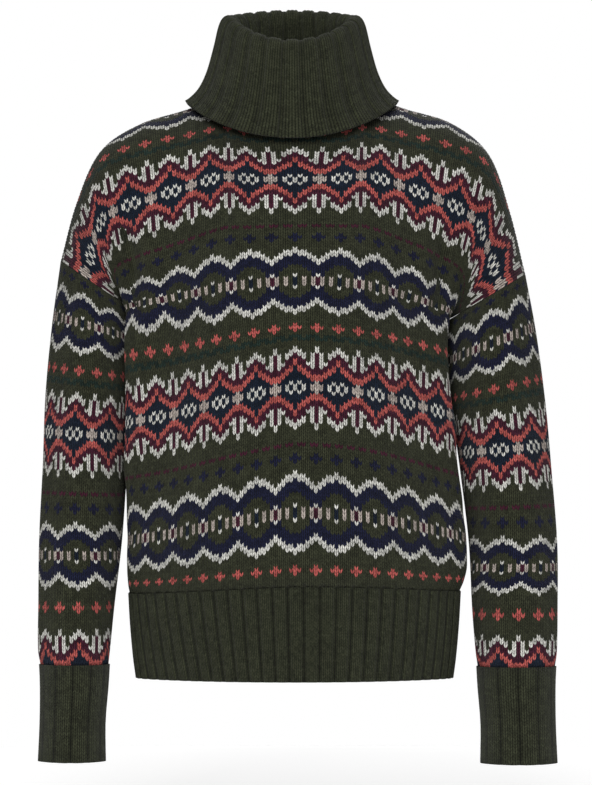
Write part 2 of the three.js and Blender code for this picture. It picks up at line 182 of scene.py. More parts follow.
chestRise = columns(
    "stitch low lowPush high highPush rowPull",
    (0, 60, 8, 50, 24, 1),
    (8, 65, 8, 44, 41, 1),
    (16, 70, 8, 32, 84, 1.03),
    (30, 80, 6, 12, 86, 1.13),
    (38, 75, 3, 6, 88, 1.2),
    (44, 58, 2, 4, 96, 1.28),
    (52, 36, 34, 0, 102, 1.4),
    (66, 26, 82, 0, 98, 1.6),
)
backRise = columns(
    "stitch low lowPush high highPush rowPull",
    (0, 80, 14, 62, 34, 1),
    (8, 80, 14, 50, 48, 1),
    (16, 80, 14, 32, 80, 1),
    (30, 85, 12, 12, 86, 1.05),
    (38, 78, 10, 6, 88, 1.1),
    (44, 60, 14, 4, 94, 1.2),
    (52, 36, 42, 0, 100, 1.4),
    (66, 26, 82, 0, 98, 1.6),
)
neckline = {"frontY": -74, "backY": 70, "frontUp": -26, "backUp": 30}
topRows = {  # the panels' last rows at the centre, and from the neck point out to the armhole
    "front": 149.5,
    "back": 164,
    "stitches": (16, 35, 52, 66),
    "rows": (169, 166, 157, 147),
}


def torsoPoint(face, stitch, row):
    left = stitch < 0
    share = np.abs(stitch) / body["halfStitches"]

    def at(column):
        return along(torsoSections, "row", column, row)

    side = np.where(left, at("left"), at("right"))
    push = np.where(left, at("leftPush"), at("rightPush"))
    deep = at("front") if face < 0 else at("back")
    spread = np.where(left, at("leftStitch"), at("rightStitch")) * body["halfStitches"] / quarter / side
    angle = quarter * (spread * share - (spread - 1) * share**3)
    corner = body["cornerHeight"] * np.sin(angle) ** body["cornerSharpness"] * np.cos(angle) ** 2
    out = side * np.sin(angle) + push * corner
    depth = deep * np.cos(angle) + body["cornerDepth"] * push * corner
    drop = np.where(left, at("leftDrop"), at("rightDrop"))
    sag = np.sin(quarter * share) ** np.where(left, body["leftSag"], body["rightSag"])
    up = at("level") - drop * (sag if face < 0 else 1 - body["backSag"] * (1 - sag))
    return np.stack([np.where(left, -out, out), face * depth, up], -1)


def shoulderPoint(face, stitch):
    left = stitch < 0
    s = np.abs(stitch)
    angle = quarter * np.minimum(s / body["neckStitch"], 1)
    middleY = neckline["frontY" if face < 0 else "backY"]
    middleUp = neckline["frontUp" if face < 0 else "backUp"]
    seamY, seamUp = shoulderLine["y"][0], shoulderLine["leftUp"][0]
    cosine = np.maximum(np.cos(angle), 0)
    neckX = body["neckHalfWidth"] * np.sin(angle)
    neckY = seamY + (middleY - seamY) * cosine
    neckUp = seamUp + (middleUp - seamUp) * cosine ** body["neckCurve"]

    def at(column):
        return along(shoulderLine, "stitch", column, s)

    onSeam = s > body["neckStitch"]
    out = np.where(onSeam, np.where(left, at("leftOut"), at("rightOut")), neckX)
    up = np.where(onSeam, np.where(left, at("leftUp"), at("rightUp")), neckUp)
    return np.stack([np.where(left, -out, out), np.where(onSeam, at("y"), neckY), up], -1)


def chestCurve(face, stitch, share):  # stitch and share broadcast; share runs from the underarm up
    start = torsoPoint(face, stitch, np.full(stitch.shape, float(body["underarmRow"])))
    end = shoulderPoint(face, stitch)
    rise = chestRise if face < 0 else backRise

    def at(column):
        return along(rise, "stitch", column, np.abs(stitch))[..., None]

    up = (end - start) * np.array([1, 0, 1])
    up /= np.linalg.norm(up, axis=-1, keepdims=True)
    outward = np.array([0.0, face, 0.0])
    low = start + up * at("low") + outward * at("lowPush")
    even = end.copy()  # the neck edge with its stitches spread evenly
    evenX = stitch * body["neckHalfWidth"] / body["neckStitch"]
    even[..., 0] = np.where(np.abs(stitch) < body["neckStitch"], evenX, end[..., 0])
    high = even - up * at("high") + outward * at("highPush")
    t = share[..., None]
    return (1 - t) ** 3 * start + 3 * (1 - t) ** 2 * t * low + 3 * (1 - t) * t**2 * high + t**3 * end


def panelTop(face, stitch):
    s = np.abs(stitch)
    centre, neckPoint = topRows["front" if face < 0 else "back"], topRows["rows"][0]
    cosine = np.maximum(np.cos(quarter * np.minimum(s / body["neckStitch"], 1)), 0)
    neck = neckPoint + (centre - neckPoint) * cosine ** body["neckCurve"]
    return np.where(s < body["neckStitch"], neck, np.interp(s, topRows["stitches"], topRows["rows"]))


def panelPlaces(face, stitches):  # a point for every row and column, rows beyond the top edge kept on it
    top = panelTop(face, stitches)
    rows = np.arange(int(top.max()) + 2)
    row, stitch = np.meshgrid(rows.astype(float), stitches, indexing="ij")
    row = np.minimum(row, top[None, :])
    places = torsoPoint(face, stitch, np.minimum(row, body["underarmRow"]))
    steps = np.linspace(0, 1, body["curveSteps"])
    every, stepGrid = np.meshgrid(stitches, steps)
    curves = chestCurve(face, every, stepGrid)
    lengths = np.linalg.norm(np.diff(curves, axis=0), axis=-1)
    length = np.vstack([np.zeros(len(stitches)), np.cumsum(lengths, 0)])
    above = row > body["underarmRow"]
    share = np.clip((row - body["underarmRow"]) / (top[None, :] - body["underarmRow"]), 0, 1)
    share **= along(chestRise if face < 0 else backRise, "stitch", "rowPull", np.abs(stitches))
    for i in range(len(stitches)):
        share[:, i] = np.interp(share[:, i] * length[-1, i], length[:, i], steps)
    chest = chestCurve(face, stitch, share)
    return np.where(above[..., None], chest, places), top


stitchShape = {
    "perStitch": 4,  # mesh columns in a stitch, two to each leg of its V
    "slant": 0.8,  # how far the legs of the V rise, in rows
    "relief": 0.55,  # how far the legs stand proud of the cloth, in mm
    "valley": 0.55,  # how deep the middle of the V is, as a share of that
}


def outwardOf(places, ahead, closed):
    wide = stitchShape["perStitch"]
    if closed:
        across = np.roll(places, -wide, 1) - np.roll(places, wide, 1)
    else:
        index = np.arange(places.shape[1])
        across = places[:, np.minimum(index + wide, index[-1])] - places[:, np.maximum(index - wide, 0)]
    index = np.arange(places.shape[0])
    up = places[np.minimum(index + 1, index[-1])] - places[np.maximum(index - 1, 0)]
    normal = np.cross(across, up) * ahead
    return normal / np.maximum(np.linalg.norm(normal, axis=-1, keepdims=True), 1e-9)


def zipped(first, second):  # triangles between two rows of points with different counts
    made, i, j = [], 0, 0
    while i < len(first) - 1 or j < len(second) - 1:
        nextFirst = (i + 1) / (len(first) - 1) if i < len(first) - 1 else 2
        nextSecond = (j + 1) / (len(second) - 1) if j < len(second) - 1 else 2
        if nextFirst <= nextSecond:
            made.append((first[i], first[i + 1], second[j]))
            i += 1
        else:
            made.append((first[i], second[j + 1], second[j]))
            j += 1
    return made


def withinSeam(number, stitches, half, shift):  # columns past a row's last stitch give way to that stitch
    inside = np.abs(stitches[None, :] + shift[:, None]) < half[:, None]
    firstIn, lastIn = np.argmax(inside, 1), len(stitches) - 1 - np.argmax(inside[:, ::-1], 1)
    column = np.clip(np.arange(len(stitches))[None, :], firstIn[:, None], lastIn[:, None])
    return np.take_along_axis(number, column, 1)


def gridTriangles(number, closed):  # two triangles for each square of a grid of point numbers
    column = np.arange(number.shape[1] if closed else number.shape[1] - 1)
    after = (column + 1) % number.shape[1]
    a, b = number[:-1][:, column], number[:-1][:, after]
    c, d = number[1:][:, after], number[1:][:, column]
    return np.concatenate([np.stack([a, b, c], -1).reshape(-1, 3), np.stack([a, c, d], -1).reshape(-1, 3)])


def threeCorners(triangles):  # false where two corners of a triangle are one point
    a, b, c = triangles.T
    return (a != b) & (b != c) & (a != c)


def betweenRows(places, normals, level):  # points and normals at levels that lie between the rows
    low = np.minimum(np.floor(level).astype(int), places.shape[0] - 2)[..., None]
    blend = level[..., None] - low
    point = np.take_along_axis(places, low, 0) * (1 - blend)
    point += np.take_along_axis(places, low + 1, 0) * blend
    return point, np.take_along_axis(normals, low, 0)


def yarnSide(places, normals, stitches, top, raised, seam):  # the outside, with the V of each stitch
    f = (stitches + 0.5) % 1.0
    rise = stitchShape["slant"] * np.abs(2 * f - 1)
    middle = np.where(np.isclose(f, 0.5), 1 - stitchShape["valley"], 0.0)
    leg = np.where(np.isclose(f % 0.5, 0.25), 1.0, middle)
    rows = np.arange(places.shape[0])[:, None]
    level = rows + rise[None, :]
    level[0] = 0
    lastStep = np.argmax(level >= top[None, :] - 1e-6, axis=0)
    level = np.minimum(level, top[None, :])
    point, normal = betweenRows(places, normals, level)
    point += normal * (stitchShape["relief"] * (leg - 1) + raised(stitches))[None, :, None]

    used = rows <= lastStep[None, :]
    number = np.full(used.shape, -1)
    number[used] = np.arange(used.sum())
    number = np.take_along_axis(number, np.minimum(rows, lastStep[None, :]), 0)
    if seam:
        number = withinSeam(number, stitches, *seam)
    uv = np.stack([np.broadcast_to(stitches, level.shape), level], -1)
    return point[used], uv[used], number, lastStep


def plainSide(places, normals, stitches, top, thickness, every, seam, closed):  # the wall's smooth inside
    everyStitch, everyRow = every
    column = np.arange(0, len(stitches), stitchShape["perStitch"] * everyStitch)
    if not closed and column[-1] != len(stitches) - 1:
        column = np.append(column, len(stitches) - 1)
    shares = np.linspace(0, 1, max(2, int(round(top.max() / everyRow)) + 1))
    level = shares[:, None] * top[None, column]
    point, normal = betweenRows(places[:, column], normals[:, column], level)
    point -= normal * thickness
    number = np.arange(level.size).reshape(level.shape)
    if seam:
        half, shift = (np.interp(level[:, 0], np.arange(places.shape[0]), values) for values in seam)
        number = withinSeam(number, stitches[column], half, shift)
    uv = np.stack([np.broadcast_to(stitches[column], level.shape), level], -1)
    return point.reshape(-1, 3), uv.reshape(-1, 2), number


def edgeStrips(outer, inner, lastStep, closed):  # joins the outside to the inside all along the edges
    bottom, top = [list(inner[0]), list(outer[0])], [list(outer[-1]), list(inner[-1])]
    if closed:
        for line in bottom + top:
            line.append(line[0])
        return np.array(zipped(*bottom) + zipped(*top))
    left, right = list(outer[: lastStep[0] + 1, 0]), list(outer[: lastStep[-1] + 1, -1])
    sides = zipped(left, list(inner[:, 0])) + zipped(list(inner[:, -1]), right)
    return np.array(zipped(*bottom) + zipped(*top) + sides)


def yarnNumbers(grid, stitches, yarnOf, closed):  # one yarn for both triangles of each square of the outside
    column = stitches if closed else stitches[:-1]
    stitch = np.round(column + 0.5 / stitchShape["perStitch"]).astype(int)
    stitchGrid, rowGrid = np.meshgrid(stitch, np.arange(grid.shape[0] - 1))
    return np.tile(yarnOf(stitchGrid, rowGrid).ravel(), 2)


def wallPiece(name, vertices, uv, triangles, colour, shown):  # the first shown triangles are the outside
    kept, triangles = np.unique(triangles, return_inverse=True)
    triangles = triangles.reshape(-1, 3)
    vertices, uv = vertices[kept], uv[kept]
    count = len(triangles)
    mesh = bpy.data.meshes.new(name)
    mesh.vertices.add(len(vertices))
    mesh.vertices.foreach_set("co", (vertices * mm).ravel())
    mesh.loops.add(count * 3)
    mesh.loops.foreach_set("vertex_index", triangles.ravel())
    mesh.polygons.add(count)
    mesh.polygons.foreach_set("loop_start", np.arange(count) * 3)
    mesh.polygons.foreach_set("loop_total", np.full(count, 3))
    mesh.polygons.foreach_set("material_index", (np.arange(count) >= shown).astype(int))
    mesh.polygons.foreach_set("use_smooth", np.ones(count, bool))
    mesh.uv_layers.new(name="Stitches").data.foreach_set("uv", uv[triangles.ravel()].ravel())
    mesh.attributes.new("yarn", "FLOAT", "FACE").data.foreach_set("value", colour / len(yarnOrder))
    mesh.update(calc_edges=True)
    mesh.validate()
    piece = bpy.data.objects.new(name, mesh)
    bpy.context.collection.objects.link(piece)
    print(f"{name}: {count} triangles")
    return piece


def knit(
    name, places, stitches, top, yarnOf, raised, thickness, ahead,
    closed=False, every=(4, 4), seam=None, first=0,
):  # every thins out the inside, and first is the stitch from which ribs are counted
    normals = outwardOf(places, ahead, closed)
    lastRow = np.floor(np.minimum(top, places.shape[0] - 1)).astype(int)
    row = np.minimum(np.arange(places.shape[0])[:, None], lastRow[None, :])
    normals = np.take_along_axis(normals, row[..., None], 0)

    outside, uv, number, lastStep = yarnSide(places, normals, stitches, top, raised, seam)
    inside, uvIn, numberIn = plainSide(places, normals, stitches, top, thickness, every, seam, closed)
    numberIn = numberIn + len(outside)
    faces = gridTriangles(number, closed)
    real = threeCorners(faces)
    faces, colour = faces[real], yarnNumbers(number, stitches, yarnOf, closed)[real]
    backing = gridTriangles(numberIn, closed)[:, [0, 2, 1]]
    hidden = np.concatenate([backing, edgeStrips(number, numberIn, lastStep, closed)])
    hidden = hidden[threeCorners(hidden)]
    triangles = np.concatenate([faces, hidden])
    if ahead < 0:
        triangles = triangles[:, ::-1]
    colour = np.concatenate([colour, np.full(len(hidden), yarnNumber("o"))])
    uv = np.concatenate([uv, uvIn]) + [0.5 - first, 0]
    return wallPiece(name, np.concatenate([outside, inside]), uv, triangles, colour, len(faces))


def plain(stitch, row):
    return np.full(stitch.shape, yarnNumber("o"))


def flatCloth(stitch):
    return 0 * stitch


# how the wool grain is drawn: heather tone and bumps, with painted shade between the yarn legs and in the rib
# grooves
grain = {
    "heather": 2.2,
    "legShade": 0.95,
    "fuzz": 0.4,
    "plies": 0.2,
    "groove": 0.6,
    "collarGrooveShade": 0.3,
    "speckleScale": 620,
    "cloudScale": 55,
    "clouds": 0.25,
    "chances": 0.22,
    "hairHeight": 3,
    "twist": 2.5,
    "plyHeight": 0.25,
    "endHeight": 0.45,
    "endShade": 0.6,
    "grooveShadeStart": 0.03,
    "grooveShadeSlope": 11,
}
wool = {
    "olive": (0.034, 0.038, 0.021),
    "collar": (0.033, 0.037, 0.020),
    "inside": (0.026, 0.030, 0.018),
    "roughness": 0.95,
    "sheen": 0.06,
    "insideSheen": 0.08,
    "sheenRoughness": 0.5,
    "bump": 0.75,
    "bumpDepth": 0.0009,
    "shine": 0.12,
}
rib = {"relief": 1.6, "thickness": 3, "groove": 0.35, "shoulder": 1.05, "stitches": 4}


def node(tree, kind, **values):
    made = tree.nodes.new(kind)
    for key, value in values.items():
        setattr(made, key, value)
    return made


def maths(tree, operation, *inputs, clamp=False):
    made = node(tree, "ShaderNodeMath", operation=operation, use_clamp=clamp)
    for socket, value in zip(made.inputs, inputs):
        if isinstance(value, (int, float)):
            socket.default_value = value
        else:
            tree.links.new(value, socket)
    return made.outputs[0]


def fromMiddle(tree, value):  # 0 in the middle of a step from 0 to 1, and 1 at both of its ends
    return maths(tree, "ABSOLUTE", maths(tree, "SUBTRACT", maths(tree, "MULTIPLY", value, 2), 1))


def noise(tree, place, scale, detail, roughness):  # varies to both sides of 0
    made = node(tree, "ShaderNodeTexNoise")
    made.inputs["Scale"].default_value = scale
    made.inputs["Detail"].default_value = detail
    made.inputs["Roughness"].default_value = roughness
    tree.links.new(place, made.inputs["Vector"])
    return maths(tree, "SUBTRACT", made.outputs["Fac"], 0.5)


def knitGrainGroup():
    tree = bpy.data.node_groups.new("knitGrain", "ShaderNodeTree")
    tree.interface.new_socket("Stitches", in_out="INPUT", socket_type="NodeSocketVector")
    for name in ("Heather", "Leg shade", "Fuzz", "Plies", "Groove shade"):
        tree.interface.new_socket(name, in_out="INPUT", socket_type="NodeSocketFloat")
    for name in ("Shade", "Height"):
        tree.interface.new_socket(name, in_out="OUTPUT", socket_type="NodeSocketFloat")
    given = node(tree, "NodeGroupInput")
    result = node(tree, "NodeGroupOutput")
    parts = node(tree, "ShaderNodeSeparateXYZ")
    tree.links.new(given.outputs["Stitches"], parts.inputs[0])
    u, v = parts.outputs[0], parts.outputs[1]

    # where a point lies on a leg of its V: across the leg, and along it
    bend = fromMiddle(tree, maths(tree, "FRACT", u))
    w = maths(tree, "SUBTRACT", v, maths(tree, "MULTIPLY", bend, stitchShape["slant"]))
    run = maths(tree, "FRACT", w)
    leg = maths(tree, "FRACT", maths(tree, "MULTIPLY", u, 2))
    across, ends = fromMiddle(tree, leg), fromMiddle(tree, run)

    # chance for each stitch, and the speckle and clouds of heather wool
    whole = node(tree, "ShaderNodeCombineXYZ")
    tree.links.new(maths(tree, "FLOOR", u), whole.inputs[0])
    tree.links.new(maths(tree, "FLOOR", w), whole.inputs[1])
    chance = node(tree, "ShaderNodeTexWhiteNoise", noise_dimensions="2D")
    tree.links.new(whole.outputs[0], chance.inputs["Vector"])
    place = node(tree, "ShaderNodeTexCoord").outputs["Object"]
    speckle = noise(tree, place, grain["speckleScale"], 3, 0.7)
    cloud = noise(tree, place, grain["cloudScale"], 4, 0.5)

    square = maths(tree, "MULTIPLY", across, across)
    roundness = maths(tree, "SQRT", maths(tree, "SUBTRACT", 1, square, clamp=True))
    endDrop = maths(tree, "MULTIPLY", maths(tree, "POWER", ends, 4), grain["endHeight"])
    wound = maths(tree, "ADD", maths(tree, "MULTIPLY", run, grain["twist"]), leg)
    turn = maths(tree, "SINE", maths(tree, "MULTIPLY", wound, 2 * math.pi))
    plies = maths(tree, "MULTIPLY", maths(tree, "MULTIPLY", turn, grain["plyHeight"]), given.outputs["Plies"])
    fuzz = maths(tree, "MULTIPLY", speckle, given.outputs["Fuzz"])
    hairs = maths(tree, "MULTIPLY", fuzz, grain["hairHeight"])
    height = maths(tree, "ADD", maths(tree, "SUBTRACT", roundness, endDrop), plies)
    tree.links.new(maths(tree, "ADD", height, hairs), result.inputs["Height"])

    clouds = maths(tree, "MULTIPLY", cloud, grain["clouds"])
    chances = maths(tree, "MULTIPLY", maths(tree, "SUBTRACT", chance.outputs["Value"], 0.5), grain["chances"])
    mixed = maths(tree, "ADD", speckle, maths(tree, "ADD", clouds, chances))
    heather = maths(tree, "ADD", 1, maths(tree, "MULTIPLY", mixed, given.outputs["Heather"]))
    # painted shade: each yarn leg darkened across its edges and at its ends, where the neighbouring loops
    # would shadow it
    paintedEndShade = maths(tree, "MULTIPLY", maths(tree, "POWER", ends, 6), grain["endShade"])
    gap = maths(tree, "ADD", maths(tree, "POWER", across, 3), paintedEndShade)
    gap = maths(tree, "MULTIPLY", gap, given.outputs["Leg shade"])
    # painted shade: the grooves between ribs darkened in colour, on top of their real relief
    ofRib = maths(tree, "FRACT", maths(tree, "DIVIDE", maths(tree, "SUBTRACT", u, 0.5), rib["stitches"]))
    away = maths(tree, "SUBTRACT", 0.5, maths(tree, "ABSOLUTE", maths(tree, "SUBTRACT", ofRib, 0.5)))
    away = maths(tree, "SUBTRACT", away, grain["grooveShadeStart"])
    raisedPart = maths(tree, "MULTIPLY", away, grain["grooveShadeSlope"], clamp=True)
    groove = maths(tree, "MULTIPLY", maths(tree, "SUBTRACT", 1, raisedPart), given.outputs["Groove shade"])
    heather = maths(tree, "MULTIPLY", heather, maths(tree, "SUBTRACT", 1, groove))
    # the heather tone, times the painted shade of the rib grooves and of the gaps between yarn legs
    shade = maths(tree, "MULTIPLY", heather, maths(tree, "SUBTRACT", 1, gap, clamp=True))
    tree.links.new(shade, result.inputs["Shade"])
    return tree


knitGrain = knitGrainGroup()


def chartColour(tree):  # the yarn of each face, from its number
    which = node(tree, "ShaderNodeAttribute", attribute_name="yarn")
    chosen = node(tree, "ShaderNodeValToRGB")
    ramp = chosen.color_ramp
    ramp.interpolation = "CONSTANT"
    for i, letter in enumerate(yarnOrder):
        at = max(0, (i - 0.5) / len(yarnOrder))
        stop = ramp.elements[i] if i < 2 else ramp.elements.new(at)
        stop.position = at
        stop.color = (*yarns[letter], 1)
    tree.links.new(which.outputs["Fac"], chosen.inputs["Fac"])
    return chosen.outputs["Color"]


def woolMaterial(name, colour=None, groove=0, sheen=wool["sheen"]):  # with no colour, the chart gives it
    material = bpy.data.materials.new(name)
    material.use_nodes = True
    tree = material.node_tree
    shader = tree.nodes["Principled BSDF"]
    stitches = node(tree, "ShaderNodeUVMap", uv_map="Stitches")
    group = node(tree, "ShaderNodeGroup", node_tree=knitGrain)
    group.inputs["Heather"].default_value = grain["heather"]
    # how strong the painted shade between the yarn legs is
    group.inputs["Leg shade"].default_value = grain["legShade"]
    group.inputs["Fuzz"].default_value = grain["fuzz"]
    group.inputs["Plies"].default_value = grain["plies"]
    # how strong the painted shade in the rib grooves is, none on the patterned cloth
    group.inputs["Groove shade"].default_value = groove
    tree.links.new(stitches.outputs["UV"], group.inputs["Stitches"])
    tint = node(tree, "ShaderNodeMix", data_type="RGBA", blend_type="MULTIPLY")
    tint.inputs["Factor"].default_value = 1
    if colour:
        tint.inputs["A"].default_value = (*colour, 1)
    else:
        tree.links.new(chartColour(tree), tint.inputs["A"])
    tree.links.new(group.outputs["Shade"], tint.inputs["B"])
    tree.links.new(tint.outputs["Result"], shader.inputs["Base Color"])
    relief = node(tree, "ShaderNodeBump")
    relief.inputs["Strength"].default_value = wool["bump"]
    relief.inputs["Distance"].default_value = wool["bumpDepth"]
    tree.links.new(group.outputs["Height"], relief.inputs["Height"])
    tree.links.new(relief.outputs["Normal"], shader.inputs["Normal"])
    shader.inputs["Roughness"].default_value = wool["roughness"]
    shader.inputs["Sheen Weight"].default_value = sheen
    shader.inputs["Sheen Roughness"].default_value = wool["sheenRoughness"]
    shader.inputs["Specular IOR Level"].default_value = wool["shine"]
    return material


patternedKnit = woolMaterial("patternedKnit")
# the ribs get painted shade in their grooves, lighter on the collar
oliveRib = woolMaterial("oliveRib", wool["olive"], grain["groove"])
collarRib = woolMaterial("collarRib", wool["collar"], grain["collarGrooveShade"])
knitInside = woolMaterial("knitInside", wool["inside"], sheen=wool["insideSheen"])
print("materials made")


def dress(piece, outside, replaced):
    piece.data.materials.append(outside)
    piece.data.materials.append(knitInside if outside is patternedKnit else outside)
    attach(piece, "root")
    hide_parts(replaced)


folds = {  # lengths in mm, and edges in stitches and rows
    "stitch": 4.3,
    "row": 3.75,
    "sway": 3,
    "swayLength": 17,
    "fadeFrom": -12,
    "fadeTo": 20,
    "sideEdge": 5,
    "hemEdge": 8,
}
foldColumns = "stitch row toStitch toRow height wide"
frontFolds = columns(
    foldColumns,
    (-44, 88, -42, 126, -6, 9),
    (-38, 86, -36, 122, 2.5, 12),
    (-50, 116, -56, 140, 2, 12),
    (39, 90, 39, 120, -5.5, 8),
    (34, 88, 33, 116, 2.5, 12),
    (48, 118, 55, 138, 2, 12),
    (-42, 88, -24, 104, 2, 9),
    (-40, 80, -20, 92, -2.2, 10),
    (38, 84, 20, 96, -2, 10),
    (-58, 20, -36, 34, -2, 13),
    (-60, 40, -40, 56, 1.8, 12),
    (58, 26, 40, 40, -2, 12),
    (60, 46, 44, 60, 1.8, 12),
    (-30, 8, -6, 20, -1.4, 14),
    (12, 18, 34, 10, 1.4, 13),
)
backFolds = columns(
    foldColumns,
    (-43, 90, -41, 128, -5.5, 9),
    (40, 88, 40, 124, -6, 9),
    (-36, 92, -16, 112, 2, 11),
    (34, 86, 14, 106, -2.2, 11),
    (-52, 24, -22, 40, -2.2, 13),
    (54, 36, 28, 22, 2, 13),
    (-18, 56, 20, 48, -1.6, 15),
    (-8, 14, 30, 26, 1.6, 14),
)


def folded(places, stitches, ahead, table):
    normal = outwardOf(places, ahead, False)
    wide, high = folds["stitch"], folds["row"]
    rows = np.arange(places.shape[0])
    x, y = np.meshgrid(stitches * wide, rows * high)
    lift = np.zeros(x.shape)
    for i in range(len(table["stitch"])):
        fromX, fromY = table["stitch"][i] * wide, table["row"][i] * high
        toX, toY = table["toStitch"][i] * wide, table["toRow"][i] * high
        long = math.hypot(toX - fromX, toY - fromY)
        wayX, wayY = (toX - fromX) / long, (toY - fromY) / long
        run = (x - fromX) * wayX + (y - fromY) * wayY
        sway = folds["sway"] * np.sin(run / folds["swayLength"] + i)
        off = (x - fromX) * wayY - (y - fromY) * wayX + sway
        ends = softStep(folds["fadeFrom"], folds["fadeTo"], run)
        ends *= softStep(folds["fadeFrom"], folds["fadeTo"], long - run)
        lift += table["height"][i] * ends * np.exp(-((off / table["wide"][i]) ** 2))
    sides = softStep(0, folds["sideEdge"], body["halfStitches"] - np.abs(stitches))
    lift *= sides[None, :] * softStep(0, folds["hemEdge"], rows)[:, None]
    return places + normal * lift[..., None]


def panelPiece(name, face, table, replaced):
    places, top = panelPlaces(face, panelStitches)
    places = folded(places, panelStitches, -face, table)
    piece = knit(name, places, panelStitches, top, fairIsle, flatCloth, body["thickness"], -face)
    dress(piece, patternedKnit, replaced)


columnStep = 1 / stitchShape["perStitch"]
panelStitches = np.arange(-body["halfStitches"], body["halfStitches"] + columnStep / 2, columnStep)
panelPiece("frontPanel", -1, frontFolds, "front")
panelPiece("backPanel", 1, backFolds, "back")

sleeves = {"easeRows": 34, "rows": 123, "firstRow": -12.5, "gap": 0.35, "turnSteps": 241, "spare": 6}
sleeveRows = "row z outer inner front middle tilt"
leftSleeve = columns(
    sleeveRows,
    (0, -186, 240, 156, 74, 0, 46),
    (14, -234, 249, 163.5, 68, 2, 19),
    (34, -300, 256, 168, 62, 4, 9),
    (54, -367, 258.5, 172, 56, 1, 4),
    (76, -443, 262, 177, 50, -6, 1),
    (96, -510, 262.5, 184.5, 44, -14, 0),
    (110, -556, 262.5, 189, 41, -19, 0),
    (114, -570, 260, 190.5, 38, -21, 0),
)
rightSleeve = columns(
    sleeveRows,
    (0, -201, 236, 153, 74, 0, 56),
    (14, -249, 247, 157, 69, 2, 36),
    (34, -312, 257, 162, 64, 4, 14),
    (54, -376, 263, 170, 58, 1, 6),
    (76, -448, 268.5, 178, 53, -6, 1),
    (96, -513, 268.5, 181, 47, -14, 0),
    (110, -558, 267.5, 184.5, 43, -19, 0),
    (114, -572, 265.5, 186.5, 40, -21, 0),
)
# for rows of the pattern: how far down they lie, half their stitches, and how far those are turned
sleeveKnots = columns(
    "row left right half leftTurn rightTurn",
    (-12.5, 114, 114, 30, -3, 0),
    (-3, 104, 105, 31, -3, -0.3),
    (4, 97, 98.5, 32, -3, -0.6),
    (9, 91, 91.5, 33, -2.9, -0.8),
    (20, 81, 83.5, 35, -2.8, -1),
    (31, 71.5, 74, 37, -2.6, -1.5),
    (44, 57.5, 59, 40, -2.3, -2.2),
    (56.5, 45, 46.5, 42, -2, -2.7),
    (69, 33, 34, 44, -0.6, -3.6),
    (81, 21, 22, 46, 0.8, -4.4),
    (92, 12.2, 13, 47.5, 1.6, -5),
    (103, 4.5, 4, 49, 1.9, -5.3),
    (110.5, 0, 0, 50, 2, -5.5),
)


def sleeveRing(side, rows, down, turn):  # turn is the share of the way round from the underarm by the front
    def at(column):
        return along(rows, "row", column, down)

    angle = 2 * math.pi * turn
    half = (at("outer") - at("inner")) / 2
    x = side * (at("inner") + half - half * np.cos(angle))
    y = at("middle") - at("front") * np.sin(angle)
    z = at("z") - at("tilt") / 2 * np.cos(angle)
    return np.stack([x, y, z], -1)


def armholeEdge(side, turn):
    stitch = np.full(turn.shape, float(side * body["halfStitches"]))
    front = chestCurve(-1, stitch, np.clip(2 * turn, 0, 1))
    back = chestCurve(1, stitch, np.clip(2 - 2 * turn, 0, 1))
    return np.where((turn < 0.5)[..., None], front, back)


def sleevePlaces(side, rows, down, turn):
    place = sleeveRing(side, rows, down, turn)
    keep = np.maximum(0, 1 - down / sleeves["easeRows"]) ** 2
    start = sleeveRing(side, rows, 0 * down, turn)
    gap = np.array([0, 0, -sleeves["gap"]])
    return place + keep[..., None] * (armholeEdge(side, turn) + gap - start)


def evenTurn(side, rows, down, share):  # the turn at a share of the way round, measured along the cloth
    fine = np.linspace(0, 1, sleeves["turnSteps"])
    downGrid, turnGrid = np.meshgrid(down, fine, indexing="ij")
    ring = sleevePlaces(side, rows, downGrid, turnGrid)
    length = np.cumsum(np.linalg.norm(np.diff(ring, axis=1), axis=-1), 1)
    length = np.concatenate([np.zeros((len(down), 1)), length], 1) / length[:, -1:]
    return np.array([np.interp(share[j], length[j], fine) for j in range(len(down))])


def sleeveGrid(side, rows):
    name = "left" if side < 0 else "right"
    level = np.minimum(np.arange(sleeves["rows"] + 2), sleeves["rows"]) + sleeves["firstRow"]
    down, half, shift = (
        np.interp(level, sleeveKnots["row"], sleeveKnots[column]) for column in (name, "half", name + "Turn")
    )
    widest = sleeveKnots["half"][-1] + sleeves["spare"]
    stitches = np.arange(-widest, widest, columnStep)
    share = np.clip(0.5 + side * (stitches[None, :] + shift[:, None]) / (2 * half[:, None]), 0, 1)
    turn = evenTurn(side, rows, down, share)
    downGrid = np.broadcast_to(down[:, None], turn.shape)
    return sleevePlaces(side, rows, downGrid, turn), stitches, (half, shift)


def sleeveChart(stitch, row):
    return fairIsle(stitch, row + int(sleeves["firstRow"]))


def sleevePiece(name, side, rows, replaced):
    places, stitches, seam = sleeveGrid(side, rows)
    top = np.full(len(stitches), float(sleeves["rows"]))
    thick = body["thickness"]
    piece = knit(name, places, stitches, top, sleeveChart, flatCloth, thick, 1, True, (2, 4), seam)
    dress(piece, patternedKnit, replaced)


sleevePiece("sleeveLeft", -1, leftSleeve, "sleeve_left")
sleevePiece("sleeveRight", 1, rightSleeve, "sleeve_right")


def ribHeight(stitch):  # low between two ribs, at every fourth stitch from the first
    every = rib["stitches"]
    away = np.abs((stitch + every / 2) % every - every / 2)
    return rib["relief"] * softStep(rib["groove"], rib["shoulder"], away)


hem = {"rows": 30, "bottom": -584, "gap": 0.15}
hemSections = columns(
    "down width depth", (0, 1, 1), (0.35, 0.99, 0.975), (0.75, 0.972, 0.958), (1, 0.955, 0.958)
)
hemLean = columns("stitch across", (-66, 0), (-50, 2.2), (-33, 3), (-16, 1.6), (0, 0.4), (30, -0.6), (66, 0))


